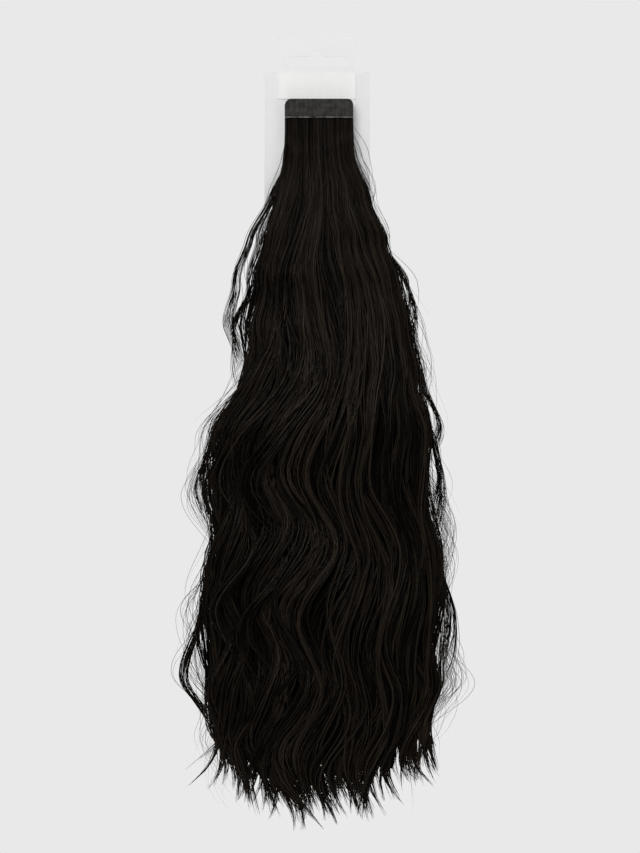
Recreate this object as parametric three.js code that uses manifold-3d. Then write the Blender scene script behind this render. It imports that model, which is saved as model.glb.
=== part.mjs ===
// A pack of wavy tape-in hair extensions hanging on its card, in millimetres.
// +X is to the right seen from the front, +Y is away from the viewer, +Z is up.
// The origin is where a shop peg carries the card: the top of the hang slot, on the card's front face.
import * as THREE from "three";
import { mergeVertices } from "three/addons/utils/BufferGeometryUtils.js";
import Module from "manifold-3d";

const wasm = await Module();
wasm.setup();

// Driving sizes of the card
const cardThickness = 0.8;
const cardWidth = 62.8;
const cardHeight = 80; // from the shoulders down
const cardCorner = 2;
const hangTabTopWidth = 47;
const hangTabFootWidth = 44;
const hangTabHeight = 21.3; // from the shoulders up
const hangTabTaper = 10.6; // the height over which it narrows to its foot
const hangTabCorner = 3.5;
const slotAboveShoulders = 12.7; // top of the slot's bump over the shoulders
const slotWidth = 36.8;
const slotHeight = 6.3;
const slotBumpRadius = 4.4;
const slotBumpRise = 3.5;

// Driving sizes of the bare label on the card, which fills the height between the shoulders and the tapes
const labelWidth = 46;
const labelThickness = 0.3;
const labelBelowShoulders = 0.8;
const labelOverTapes = 0.5;
const labelCorner = 0.6;

// Driving sizes of the tape-in pieces
const tapeCount = 10;
const tapeWidth = 40;
const tapeHeight = 10;
const tapeThickness = 0.7;
const tapeCorner = 3.3;
const tapeBelowSlot = 29.6;
const tapeSideStep = 1.1; // the stack sits a little to the right of the card's middle
const tapeStagger = 0.3; // how unevenly a hand has stacked the pieces behind the first
const seamHeight = 0.7;
const pieceGap = 0.3;

// Driving sizes of the hair
const hairLength = 424;
const hairHalfWidth = 80;
const frontBulge = 25;
const backBulge = 14;
const rearSlope = 0.45; // how fast the hair may swell back once it is past the card
const headOverTape = 0.3; // how far the head stands out past the tape at each side
const headStraight = 14; // the stretch that stays flat and square under the tapes
const waveSwing = 12;
const waveDepth = 2.6;
const lockHalfWidth = 7.6;
const lockHalfDepth = 4.6;
const lockTipHalfWidth = 0.9;
const loopHalfWidth = 2.1;
const loopTuck = 7; // how deep a loop's ends lie inside the hair
const backLockCount = 8;

// How the waves grow and fade, as shares of the hair's length
const lockStart = 0.02;
const backLockStart = 0.05;
const waveGrown = 0.27; // where a wave has its full swing
const waveFadeStart = 0.85;
const waveFade = 0.45; // the share of its swing that a wave loses by the tip
const edgePull = 0.35; // the share of its swing by which a lock keeps in from the edge

// How full a lock is, as shares of its width and of its length
const rootFullness = 0.34;
const fullShare = 0.35; // the share of its length by which it is full
const taperShare = 0.88; // and the share from which it tapers

// How the core lies inside the locks
const coreWidthShare = 0.92; // its share of the hair's width
const coreDepthShare = 0.82; // of its depth
const coreReach = 0.9; // and of its length
const coreClosing = 0.85; // how far it closes in at its foot
const headSquareness = 0.16; // 1 is round, near 0 a square

// Mesh fineness
const lockSides = 5;
const frontLockRows = 28;
const backLockRows = 14;
const loopRows = 10;
const loopSides = 4;
const coreSides = 16;
const coreRows = 14;
const plateCurveSegments = 4;

// Where things are
const shouldersZ = -slotAboveShoulders;
const cardFootZ = shouldersZ - cardHeight;
const tapeTopZ = -tapeBelowSlot;
const tapeFootZ = tapeTopZ - tapeHeight;
const seamTopZ = tapeFootZ - pieceGap;
const headTopZ = seamTopZ - seamHeight - pieceGap;
const tapePitch = tapeThickness + pieceGap;
const stackDepth = tapeCount * tapePitch;
const headHalf = tapeWidth / 2 + headOverTape;

// The hair's outline, from the head at 0 down to the longest tip at 1.
// left and right are shares of the way from the head's edge to hairHalfWidth, front and back of the two bulges.
const outline = [
  { down: 0.0, left: 0.0, right: 0.0, front: 0.0, back: 0.0 },
  { down: 0.05, left: 0.02, right: 0.04, front: 0.03, back: 0.0 },
  { down: 0.11, left: 0.14, right: 0.17, front: 0.16, back: 0.0 },
  { down: 0.17, left: 0.26, right: 0.31, front: 0.34, back: 0.1 },
  { down: 0.23, left: 0.3, right: 0.38, front: 0.5, back: 0.36 },
  { down: 0.3, left: 0.44, right: 0.55, front: 0.64, back: 0.6 },
  { down: 0.37, left: 0.52, right: 0.66, front: 0.74, back: 0.76 },
  { down: 0.45, left: 0.77, right: 0.78, front: 0.84, back: 0.88 },
  { down: 0.53, left: 0.82, right: 0.83, front: 0.9, back: 0.95 },
  { down: 0.62, left: 0.8, right: 0.86, front: 0.95, back: 1.0 },
  { down: 0.7, left: 0.92, right: 0.92, front: 1.0, back: 1.0 },
  { down: 0.78, left: 0.96, right: 0.95, front: 0.98, back: 0.94 },
  { down: 0.85, left: 0.86, right: 0.86, front: 0.86, back: 0.8 },
  { down: 0.92, left: 0.7, right: 0.74, front: 0.68, back: 0.58 },
  { down: 1.0, left: 0.52, right: 0.54, front: 0.46, back: 0.34 },
];

// How far down the hair the locks of each side swing furthest left, then furthest right, and so on in turn.
// The waves are long above and short below.
const waveBends = [
  { left: 0.17, right: 0.12 },
  { left: 0.345, right: 0.315 },
  { left: 0.468, right: 0.5 },
  { left: 0.57, right: 0.615 },
  { left: 0.672, right: 0.737 },
  { left: 0.775, right: 0.835 },
  { left: 0.88, right: 0.93 },
  { left: 0.99, right: 1.03 },
];

// The front locks, left to right. root, mid and tip are places across the hair from -1 to 1,
// swing is a share of waveSwing, side 0 follows the left bends and 1 the right ones, lag is how much
// further down a lock bends than its side does, reach its share of the hair's length, and layer 1 lies outside.
const frontLocks = [
  { root: -0.92, mid: -0.91, tip: -0.98, swing: 0.35, side: 0, lag: 0.0, reach: 0.925, layer: 0.5 },
  { root: -0.8, mid: -0.83, tip: -0.88, swing: 0.6, side: 0, lag: -0.008, reach: 0.935, layer: 0.9 },
  { root: -0.66, mid: -0.71, tip: -0.71, swing: 0.8, side: 0, lag: -0.012, reach: 0.955, layer: 0.84 },
  { root: -0.5, mid: -0.54, tip: -0.5, swing: 0.95, side: 0, lag: -0.006, reach: 0.965, layer: 0.98 },
  { root: -0.34, mid: -0.38, tip: -0.43, swing: 1.05, side: 0, lag: 0.0, reach: 0.98, layer: 0.88 },
  { root: -0.2, mid: -0.24, tip: -0.28, swing: 1.1, side: 0, lag: 0.006, reach: 1.0, layer: 1.0 },
  { root: -0.06, mid: -0.1, tip: -0.12, swing: 1.0, side: 0, lag: 0.01, reach: 0.965, layer: 0.86 },
  { root: 0.06, mid: 0.0, tip: -0.04, swing: 0.85, side: 0.3, lag: 0.0, reach: 0.975, layer: 1.0 },
  { root: 0.18, mid: 0.12, tip: 0.09, swing: 0.7, side: 0.7, lag: 0.0, reach: 0.98, layer: 0.84 },
  { root: 0.3, mid: 0.22, tip: 0.26, swing: 0.62, side: 1, lag: -0.006, reach: 0.98, layer: 1.0 },
  { root: 0.42, mid: 0.34, tip: 0.42, swing: 0.55, side: 1, lag: 0.0, reach: 0.97, layer: 0.88 },
  { root: 0.54, mid: 0.46, tip: 0.58, swing: 0.55, side: 1, lag: 0.01, reach: 0.98, layer: 0.98 },
  { root: 0.66, mid: 0.6, tip: 0.7, swing: 0.6, side: 1, lag: 0.014, reach: 0.955, layer: 0.86 },
  { root: 0.78, mid: 0.73, tip: 0.86, swing: 0.55, side: 1, lag: 0.02, reach: 0.94, layer: 0.96 },
  { root: 0.88, mid: 0.84, tip: 0.95, swing: 0.45, side: 1, lag: 0.026, reach: 0.925, layer: 0.86 },
  { root: 0.97, mid: 0.92, tip: 1.1, swing: 0.35, side: 1, lag: 0.03, reach: 0.925, layer: 0.5 },
];

// The thin loops that stand off the sides: side -1 is left, from and to are places down the hair,
// bulge is how far it stands off, as a share of hairHalfWidth, and forward its place from back 0 to front 1.
const sideLoops = [
  { side: -1, from: 0.035, to: 0.335, bulge: 0.24, forward: 0.62 },
  { side: -1, from: 0.185, to: 0.325, bulge: 0.15, forward: 0.5 },
  { side: -1, from: 0.395, to: 0.535, bulge: 0.13, forward: 0.55 },
  { side: -1, from: 0.64, to: 0.845, bulge: 0.15, forward: 0.5 },
  { side: 1, from: 0.17, to: 0.31, bulge: 0.2, forward: 0.62 },
  { side: 1, from: 0.31, to: 0.43, bulge: 0.18, forward: 0.5 },
  { side: 1, from: 0.425, to: 0.56, bulge: 0.16, forward: 0.58 },
  { side: 1, from: 0.6, to: 0.76, bulge: 0.16, forward: 0.5 },
];

// The back locks, in even places across the hair, with less swing at the sides. Every other one lies deeper.
const backLocks = Array.from({ length: backLockCount }, (_, i) => {
  const across = THREE.MathUtils.lerp(-0.9, 0.9, i / (backLockCount - 1));
  return {
    root: across,
    mid: across,
    tip: across,
    swing: 0.9 - 0.5 * Math.abs(across),
    side: across < 0 ? 0 : 1,
    lag: 0.06 + 0.012 * i,
    reach: 0.985 - 0.06 * across * across - 0.03 * (i % 2),
    layer: 0.94 - 0.12 * (i % 2),
  };
});

// Reads one column of the outline at a place down the hair, eased between the rows.
function outlineAt(down, column) {
  const next = outline.findIndex((row) => row.down >= down);
  if (next <= 0) return outline.at(next)[column];
  const a = outline[next - 1];
  const b = outline[next];
  return THREE.MathUtils.lerp(a[column], b[column], THREE.MathUtils.smoothstep(down, a.down, b.down));
}

// The hair's four edges at a place down its length.
function edgesAt(down) {
  const spread = hairHalfWidth - headHalf;
  const z = headTopZ - down * hairLength;
  const roomBehind = Math.max(0, cardFootZ - z) * rearSlope;
  return {
    z,
    left: headHalf + outlineAt(down, "left") * spread,
    right: headHalf + outlineAt(down, "right") * spread,
    front: -stackDepth - outlineAt(down, "front") * frontBulge,
    back: -pieceGap + Math.min(outlineAt(down, "back") * backBulge, roomBehind),
  };
}

// How many whole waves a lock of one side has made at a place down the hair, with a bend at every half.
function turnsAt(side, down) {
  const knots = [0, ...waveBends.map((bend) => bend[side])];
  const next = THREE.MathUtils.clamp(knots.filter((knot) => knot < down).length, 1, waveBends.length);
  const share = THREE.MathUtils.inverseLerp(knots[next - 1], knots[next], down);
  return 0.25 + 0.5 * (next - 1 + THREE.MathUtils.clamp(share, 0, 1));
}

// The line through a lock's middle, at a share t of its own length. facing is 1 in front and -1 behind.
function lockPoint(lock, facing, start, t, halfDepth) {
  const down = THREE.MathUtils.lerp(start, lock.reach, t);
  const edges = edgesAt(down);
  const half = (edges.left + edges.right) / 2;
  const upper = THREE.MathUtils.lerp(lock.root, lock.mid, THREE.MathUtils.smoothstep(down, 0, 0.5));
  const lower = THREE.MathUtils.lerp(lock.mid, lock.tip, THREE.MathUtils.smoothstep(down, 0.5, 1));
  const across = down < 0.5 ? upper : lower;
  const growing = THREE.MathUtils.smoothstep(down, lockStart, waveGrown);
  const fading = 1 - waveFade * THREE.MathUtils.smoothstep(down, waveFadeStart, 1);
  const sway = lock.swing * waveSwing * growing * fading;
  const turns = ["left", "right"].map((side) => turnsAt(side, down - lock.lag));
  const angle = 2 * Math.PI * THREE.MathUtils.lerp(...turns, lock.side);
  const x = (edges.right - edges.left) / 2 + across * (half - edgePull * sway) + sway * Math.sin(angle);
  const middleY = (edges.front + edges.back) / 2;
  const halfY = (edges.back - edges.front) / 2 - halfDepth;
  const rounding = Math.sqrt(Math.max(0, 1 - 0.75 * across * across));
  const ripple = waveDepth * lock.swing * growing * Math.cos(angle);
  const y = middleY - facing * lock.layer * halfY * rounding + ripple * lock.layer;
  return new THREE.Vector3(tapeSideStep + x, Math.min(y, edges.back - halfDepth), edges.z);
}

// The line through a side loop, which leaves the hair's edge, stands off and comes back.
function loopPoint(loop, t) {
  const down = THREE.MathUtils.lerp(loop.from, loop.to, t);
  const edges = edgesAt(down);
  const edge = loop.side < 0 ? edges.left : edges.right;
  const standOff = loop.bulge * hairHalfWidth * Math.sin(Math.PI * t);
  const x = loop.side * (edge - loopTuck + standOff);
  const y = THREE.MathUtils.lerp(edges.back, edges.front, loop.forward);
  return new THREE.Vector3(tapeSideStep + x, Math.min(y, edges.back - loopHalfWidth), edges.z);
}

// A closed solid through rings of the same number of points, the first on top, each wound towards +Y from +X.
function loft(rings) {
  const sides = rings[0].length;
  const points = rings.flat();
  const middles = [rings[0], rings.at(-1)].map((ring) =>
    ring.reduce((sum, p) => sum.add(p), new THREE.Vector3()).divideScalar(sides),
  );
  const first = points.length;
  const faces = [];
  for (let r = 0; r + 1 < rings.length; r++) {
    for (let s = 0; s < sides; s++) {
      const a = r * sides + s;
      const b = r * sides + ((s + 1) % sides);
      faces.push(a, a + sides, b, b, a + sides, b + sides);
    }
  }
  const last = (rings.length - 1) * sides;
  for (let s = 0; s < sides; s++) {
    const t = (s + 1) % sides;
    faces.push(first, s, t, first + 1, last + t, last + s);
  }
  const geometry = new THREE.BufferGeometry().setFromPoints([...points, ...middles]);
  geometry.setIndex(faces);
  return geometry;
}

// A tube of flattened rings along a line that runs downwards.
function sweep(line, rows, sides, widthAt, depthAt) {
  const rings = [];
  for (let r = 0; r <= rows; r++) {
    const t = r / rows;
    const here = line(t);
    const along = line(Math.min(1, t + 0.01)).sub(line(Math.max(0, t - 0.01))).normalize();
    const across = new THREE.Vector3().crossVectors(along, new THREE.Vector3(0, 1, 0)).normalize();
    const through = new THREE.Vector3().crossVectors(across, along).normalize();
    const ring = [];
    for (let s = 0; s < sides; s++) {
      const angle = (2 * Math.PI * s) / sides;
      ring.push(
        here
          .clone()
          .addScaledVector(across, widthAt(t) * Math.cos(angle))
          .addScaledVector(through, depthAt(t) * Math.sin(angle)),
      );
    }
    rings.push(ring);
  }
  return loft(rings);
}

// How full a lock is along its length: narrow at the root, full in the middle, pointed at the tip.
function lockFullness(t) {
  const opening = THREE.MathUtils.lerp(rootFullness, 1, THREE.MathUtils.smoothstep(t, 0, fullShare));
  const closing = 1 - THREE.MathUtils.smoothstep(t, taperShare, 1);
  return opening * closing;
}

function hairLock(lock, facing, start, rows) {
  const halfDepth = (t) => Math.max(lockTipHalfWidth, lockHalfDepth * lockFullness(t));
  return sweep(
    (t) => lockPoint(lock, facing, start, t, halfDepth(t)),
    rows,
    lockSides,
    (t) => Math.max(lockTipHalfWidth, lockHalfWidth * lockFullness(t)),
    halfDepth,
  );
}

function sideLoop(loop) {
  const girth = (t) => loopHalfWidth * THREE.MathUtils.lerp(0.7, 1, Math.sin(Math.PI * t));
  return sweep((t) => loopPoint(loop, t), loopRows, loopSides, girth, girth);
}

// The hair's inner mass: a boxy head that turns into a rounded fall.
function hairCore() {
  const rings = [];
  for (let r = 0; r <= coreRows; r++) {
    const down = coreReach * (r / coreRows) ** 1.15;
    const edges = edgesAt(down);
    const belowHead = THREE.MathUtils.smoothstep(down * hairLength, headStraight * 0.4, headStraight * 4);
    const widthShare = THREE.MathUtils.lerp(1, coreWidthShare, belowHead);
    const depthShare = THREE.MathUtils.lerp(1, coreDepthShare, belowHead);
    const closing = 1 - coreClosing * THREE.MathUtils.smoothstep(down, coreReach * 0.72, coreReach);
    const squareness = THREE.MathUtils.lerp(headSquareness, 1, belowHead);
    const middleY = (edges.front + edges.back) / 2;
    const halfY = ((edges.back - edges.front) / 2) * depthShare * closing;
    const ring = [];
    for (let s = 0; s < coreSides; s++) {
      const angle = (2 * Math.PI * (s + 0.5)) / coreSides;
      const c = Math.sign(Math.cos(angle)) * Math.abs(Math.cos(angle)) ** squareness;
      const d = Math.sign(Math.sin(angle)) * Math.abs(Math.sin(angle)) ** squareness;
      const side = c < 0 ? edges.left : edges.right;
      const x = tapeSideStep + c * side * widthShare * closing;
      ring.push(new THREE.Vector3(x, middleY + d * halfY, edges.z));
    }
    rings.push(ring);
  }
  return loft(rings);
}

// Turns a closed geometry into a solid that can be joined or cut.
function solidOf(geometry) {
  const bare = geometry.clone();
  bare.deleteAttribute("normal");
  bare.deleteAttribute("uv");
  const merged = mergeVertices(bare, 1e-4);
  return new wasm.Manifold(
    new wasm.Mesh({
      numProp: 3,
      vertProperties: merged.attributes.position.array,
      triVerts: new Uint32Array(merged.index.array),
    }),
  );
}

function geometryOf(solid) {
  const mesh = solid.getMesh();
  const geometry = new THREE.BufferGeometry();
  geometry.setAttribute("position", new THREE.BufferAttribute(mesh.vertProperties, 3));
  geometry.setIndex(new THREE.BufferAttribute(mesh.triVerts, 1));
  geometry.computeVertexNormals();
  return geometry;
}

function hairFall() {
  let fall = solidOf(hairCore());
  for (const lock of frontLocks) {
    fall = fall.add(solidOf(hairLock(lock, 1, lockStart, frontLockRows)));
  }
  for (const lock of backLocks) {
    fall = fall.add(solidOf(hairLock(lock, -1, backLockStart, backLockRows)));
  }
  for (const loop of sideLoops) {
    fall = fall.add(solidOf(sideLoop(loop)));
  }
  // The outer skin alone is kept, which fills the pockets shut in between the locks.
  const skins = fall.decompose().sort((a, b) => b.volume() - a.volume());
  return geometryOf(skins[0]);
}

// A rectangle whose top corners are rounded, given by its four edges and the corners' radius.
function archedRectangle(left, foot, right, top, radius) {
  const shape = new THREE.Shape();
  shape.moveTo(left, foot);
  shape.lineTo(right, foot);
  shape.lineTo(right, top - radius);
  shape.absarc(right - radius, top - radius, radius, 0, Math.PI / 2, false);
  shape.lineTo(left + radius, top);
  shape.absarc(left + radius, top - radius, radius, Math.PI / 2, Math.PI, false);
  shape.lineTo(left, foot);
  return shape;
}

// A shape drawn in X and Z, made into a plate whose front face is at frontY.
function plate(shape, thickness, frontY) {
  const options = { depth: thickness, bevelEnabled: false, curveSegments: plateCurveSegments };
  const geometry = new THREE.ExtrudeGeometry(shape, options);
  geometry.rotateX(Math.PI / 2);
  geometry.translate(0, frontY + thickness, 0);
  return geometry;
}

// The card: a hang tab on shoulders, with a slot that has a bump at its middle for a peg.
function cardShape() {
  const half = cardWidth / 2;
  const topHalf = hangTabTopWidth / 2;
  const footHalf = hangTabFootWidth / 2;
  const top = shouldersZ + hangTabHeight;
  const shape = new THREE.Shape();
  shape.moveTo(-half + cardCorner, cardFootZ);
  shape.lineTo(half - cardCorner, cardFootZ);
  shape.absarc(half - cardCorner, cardFootZ + cardCorner, cardCorner, -Math.PI / 2, 0, false);
  shape.lineTo(half, shouldersZ - cardCorner);
  shape.absarc(half - cardCorner, shouldersZ - cardCorner, cardCorner, 0, Math.PI / 2, false);
  shape.lineTo(footHalf, shouldersZ);
  shape.lineTo(topHalf, shouldersZ + hangTabTaper);
  shape.lineTo(topHalf, top - hangTabCorner);
  shape.absarc(topHalf - hangTabCorner, top - hangTabCorner, hangTabCorner, 0, Math.PI / 2, false);
  shape.lineTo(-topHalf + hangTabCorner, top);
  shape.absarc(-topHalf + hangTabCorner, top - hangTabCorner, hangTabCorner, Math.PI / 2, Math.PI, false);
  shape.lineTo(-topHalf, shouldersZ + hangTabTaper);
  shape.lineTo(-footHalf, shouldersZ);
  shape.lineTo(-half + cardCorner, shouldersZ);
  shape.absarc(-half + cardCorner, shouldersZ - cardCorner, cardCorner, Math.PI / 2, Math.PI, false);
  shape.lineTo(-half, cardFootZ + cardCorner);
  shape.absarc(-half + cardCorner, cardFootZ + cardCorner, cardCorner, Math.PI, Math.PI * 1.5, false);
  shape.holes.push(slotPath());
  return shape;
}

function slotPath() {
  const end = slotHeight / 2;
  const wingTop = -slotBumpRise;
  const straight = slotWidth / 2 - end;
  const bumpHalf = Math.sqrt(Math.max(0, slotBumpRadius ** 2 - (slotBumpRadius - slotBumpRise) ** 2));
  const rise = Math.asin((slotBumpRadius - slotBumpRise) / slotBumpRadius);
  const slot = new THREE.Path();
  slot.moveTo(-straight, wingTop - slotHeight);
  slot.absarc(-straight, wingTop - end, end, Math.PI * 1.5, Math.PI / 2, true);
  slot.lineTo(-bumpHalf, wingTop);
  slot.absarc(0, -slotBumpRadius, slotBumpRadius, Math.PI - rise, rise, true);
  slot.lineTo(straight, wingTop);
  slot.absarc(straight, wingTop - end, end, Math.PI / 2, -Math.PI / 2, true);
  return slot;
}

const whitePlastic = new THREE.MeshStandardMaterial({ color: 0xe6e6e6, roughness: 0.45 });
const labelWhite = new THREE.MeshStandardMaterial({ color: 0xf2f2f0, roughness: 0.6 });
const darkTape = new THREE.MeshStandardMaterial({ color: 0x343332, roughness: 0.5 });
const seamGrey = new THREE.MeshStandardMaterial({ color: 0x8c8885, roughness: 0.5 });
const darkHair = new THREE.MeshStandardMaterial({ color: 0x1c1815, roughness: 0.45 });

const extension = new THREE.Group();

function addPiece(name, geometry, material) {
  const mesh = new THREE.Mesh(geometry, material);
  mesh.name = name;
  extension.add(mesh);
  return mesh;
}

addPiece("hang_card", plate(cardShape(), cardThickness, 0), whitePlastic);

const labelShape = archedRectangle(
  -labelWidth / 2,
  tapeTopZ + tapeStagger + labelOverTapes,
  labelWidth / 2,
  shouldersZ - labelBelowShoulders,
  labelCorner,
);
addPiece("blank_label", plate(labelShape, labelThickness, -pieceGap - labelThickness), labelWhite);

// The tapes are stacked from the front one, number 1, back to the card.
for (let i = 0; i < tapeCount; i++) {
  const frontY = -stackDepth + i * tapePitch;
  const number = String(i + 1).padStart(2, "0");
  const sideways = tapeSideStep + tapeStagger * Math.sin(2.4 * i);
  const tapeShape = archedRectangle(
    sideways - tapeWidth / 2,
    tapeFootZ,
    sideways + tapeWidth / 2,
    tapeTopZ + tapeStagger * Math.sin(1.7 * i),
    tapeCorner,
  );
  addPiece(`tape_tab_${number}`, plate(tapeShape, tapeThickness, frontY), darkTape);
  const seam = new THREE.BoxGeometry(tapeWidth, tapeThickness, seamHeight);
  addPiece(`seam_line_${number}`, seam, seamGrey).position.set(
    sideways,
    frontY + tapeThickness / 2,
    seamTopZ - seamHeight / 2,
  );
}

addPiece("hair_fall", hairFall(), darkHair);

export default extension;
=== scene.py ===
# Wavy tape-in hair extensions on their hang card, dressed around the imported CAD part.
# The hair is built strand by strand along the same waves as the CAD solid. The card, label, tapes and seams
# keep their CAD shapes and get their finishes here.
import math

import bpy
import numpy as np
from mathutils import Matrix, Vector


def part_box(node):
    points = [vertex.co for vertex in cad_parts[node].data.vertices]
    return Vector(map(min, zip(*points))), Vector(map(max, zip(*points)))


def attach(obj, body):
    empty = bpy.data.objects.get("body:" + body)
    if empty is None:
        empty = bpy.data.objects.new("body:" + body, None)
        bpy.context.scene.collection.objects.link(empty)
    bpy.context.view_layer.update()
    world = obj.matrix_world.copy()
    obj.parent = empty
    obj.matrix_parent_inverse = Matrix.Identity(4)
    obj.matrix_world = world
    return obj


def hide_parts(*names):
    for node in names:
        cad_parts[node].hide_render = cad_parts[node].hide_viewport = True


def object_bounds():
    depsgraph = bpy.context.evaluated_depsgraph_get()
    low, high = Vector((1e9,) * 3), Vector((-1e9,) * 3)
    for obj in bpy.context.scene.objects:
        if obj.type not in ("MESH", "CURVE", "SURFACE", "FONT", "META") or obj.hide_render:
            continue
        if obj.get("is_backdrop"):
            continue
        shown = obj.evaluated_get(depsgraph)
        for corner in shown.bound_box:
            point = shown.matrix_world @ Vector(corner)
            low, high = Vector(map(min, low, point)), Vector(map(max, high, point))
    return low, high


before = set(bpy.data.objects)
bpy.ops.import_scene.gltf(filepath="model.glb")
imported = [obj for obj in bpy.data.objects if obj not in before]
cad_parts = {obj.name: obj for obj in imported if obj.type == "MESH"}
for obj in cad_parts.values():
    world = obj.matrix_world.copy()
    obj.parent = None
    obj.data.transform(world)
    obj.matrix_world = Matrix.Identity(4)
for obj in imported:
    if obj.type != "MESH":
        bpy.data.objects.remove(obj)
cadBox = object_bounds()
mm = 0.001  # the frame is in metres, the sizes in this file are in millimetres
chance = np.random.default_rng(41)
print("frame loaded")


# Small helpers for colours and nodes
def linear(hexColour):
    # a colour picker's sRGB value as the linear light that shaders take
    parts = [int(hexColour[i:i + 2], 16) / 255 for i in (1, 3, 5)]
    return [p / 12.92 if p <= 0.04045 else ((p + 0.055) / 1.055) ** 2.4 for p in parts] + [1.0]


def addNode(tree, kind, inputs=None, stops=None, **settings):
    # inputs holds values or other nodes' outputs by socket name or number, stops the colours of a ramp
    node = tree.nodes.new(kind)
    for name, value in settings.items():
        setattr(node, name, value)
    for name, value in (inputs or {}).items():
        if isinstance(value, bpy.types.NodeSocket):
            tree.links.new(value, node.inputs[name])
        else:
            node.inputs[name].default_value = value
    if stops:
        elements = node.color_ramp.elements
        while len(elements) < len(stops):
            elements.new(0.5)
        for element, (place, colour) in zip(elements, stops):
            element.position = place
            element.color = linear(colour)
    return node


def newMaterial(name):
    material = bpy.data.materials.new(name)
    material.use_nodes = True
    material.node_tree.nodes.clear()
    return material, material.node_tree


def finishMaterial(material, tree, shaderInputs):
    shader = addNode(tree, "ShaderNodeBsdfPrincipled", shaderInputs)
    addNode(tree, "ShaderNodeOutputMaterial", {"Surface": shader.outputs[0]})
    return material


def objectPlace(tree):
    return addNode(tree, "ShaderNodeTexCoord").outputs["Object"]


def noise(tree, place, sizeMm, detail, roughness=0.5):
    # a clouded pattern with blotches about sizeMm across
    node = addNode(tree, "ShaderNodeTexNoise", {
        "Vector": place,
        "Scale": 1 / (sizeMm * mm),
        "Detail": detail,
        "Roughness": roughness,
    })
    return node.outputs["Fac"]


def drawnOut(tree, place, share):
    # the place squeezed in height, so that a pattern on it is drawn out along the hang
    node = addNode(tree, "ShaderNodeMapping", {"Vector": place, "Scale": (1, 1, share)})
    return node.outputs["Vector"]


def ramp(tree, value, stops):
    return addNode(tree, "ShaderNodeValToRGB", {"Fac": value}, stops=stops).outputs["Color"]


def relief(tree, height, strength, depthMm):
    node = addNode(tree, "ShaderNodeBump", {
        "Height": height,
        "Strength": strength,
        "Distance": depthMm * mm,
    })
    return node.outputs["Normal"]


# Natural human hair, dyed black-brown and set in waves with steam. Each hair has its own tone, partly its
# own colour and partly painted shade, so the mass reads as fine dark streaks with a soft sheen and not as
# one black shape. The tone sets the shine too, so painted shade also dulls the sheen.
def steamWavedHair():
    look = {
        "colours": [(0.15, "#040303"), (0.5, "#0d0a08"), (0.88, "#28211b")],  # by the strand's tone
        "roughness": 0.3,
        "ior": 1.55,
        # specular levels: steam and dye roughen the cuticle, so little light comes straight back
        "dullest": 0.06,
        "shiniest": 0.2,
        "dullTone": 0.2,  # the shine grows between the tones of these two
        "shinyTone": 0.85,
        "sheenTint": "#e6d8c9",  # part of the sheen has been through the brown hair
    }
    material, tree = newMaterial("steamWavedHair")
    tone = addNode(tree, "ShaderNodeAttribute", attribute_name="strandToneAndShade").outputs["Fac"]
    shine = addNode(tree, "ShaderNodeMapRange", {
        "Value": tone,
        "From Min": look["dullTone"],
        "From Max": look["shinyTone"],
        "To Min": look["dullest"],
        "To Max": look["shiniest"],
    })
    return finishMaterial(material, tree, {
        "Base Color": ramp(tree, tone, look["colours"]),
        "Roughness": look["roughness"],
        "IOR": look["ior"],
        "Specular IOR Level": shine.outputs["Result"],
        "Specular Tint": linear(look["sheenTint"]),
    })


# The same hair deep inside the fall, painted nearly black as painted shade where hardly any light gets, and
# streaked along its length
def shadedHair():
    look = {
        "colours": [(0.35, "#040303"), (0.75, "#120e0c")],
        "roughness": 0.6,
        "sheen": 0.05,
        "streakMm": 1.8,
        "drawnOut": 0.03,
        "reliefStrength": 0.6,
        "reliefMm": 0.4,
    }
    material, tree = newMaterial("shadedHair")
    place = objectPlace(tree)
    streaks = noise(tree, drawnOut(tree, place, look["drawnOut"]), look["streakMm"], detail=3)
    return finishMaterial(material, tree, {
        "Base Color": ramp(tree, streaks, look["colours"]),
        "Normal": relief(tree, streaks, look["reliefStrength"], look["reliefMm"]),
        "Roughness": look["roughness"],
        "Specular IOR Level": look["sheen"],
    })


# Die-cut polypropylene sheet, frosted by its rollers: milky, softly shiny, a shade greyer along its two
# long edges.
def frostedPolypropylene():
    look = {
        "middle": "#fafafa",
        "edge": "#f8f8f8",
        "edgeMm": 7.9,
        "blendMm": 1,  # how softly the edge's grey begins
        "roughness": 0.38,
        "ior": 1.49,
        "seeThrough": 0.12,
        "frostMm": 0.35,
        "reliefStrength": 0.15,
        "reliefMm": 0.05,
    }
    material, tree = newMaterial("frostedPolypropylene")
    place = objectPlace(tree)
    split = addNode(tree, "ShaderNodeSeparateXYZ", {"Vector": place})
    fromMiddle = addNode(tree, "ShaderNodeMath", {0: split.outputs["X"]}, operation="ABSOLUTE")
    halfWidth = (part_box("hang_card")[1][0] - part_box("hang_card")[0][0]) / 2
    sideBand = addNode(tree, "ShaderNodeMapRange", {
        "Value": fromMiddle.outputs[0],
        "From Min": halfWidth - (look["edgeMm"] + look["blendMm"]) * mm,
        "From Max": halfWidth - look["edgeMm"] * mm,
    })
    # a Mix node's sockets 6 and 7 are its two colours, and its output 2 the mixed one
    colour = addNode(tree, "ShaderNodeMix", {
        "Factor": sideBand.outputs["Result"],
        6: linear(look["middle"]),
        7: linear(look["edge"]),
    }, data_type="RGBA")
    frost = noise(tree, place, look["frostMm"], detail=2)
    return finishMaterial(material, tree, {
        "Base Color": colour.outputs[2],
        "Normal": relief(tree, frost, look["reliefStrength"], look["reliefMm"]),
        "Roughness": look["roughness"],
        "IOR": look["ior"],
        "Transmission Weight": look["seeThrough"],
    })


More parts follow.
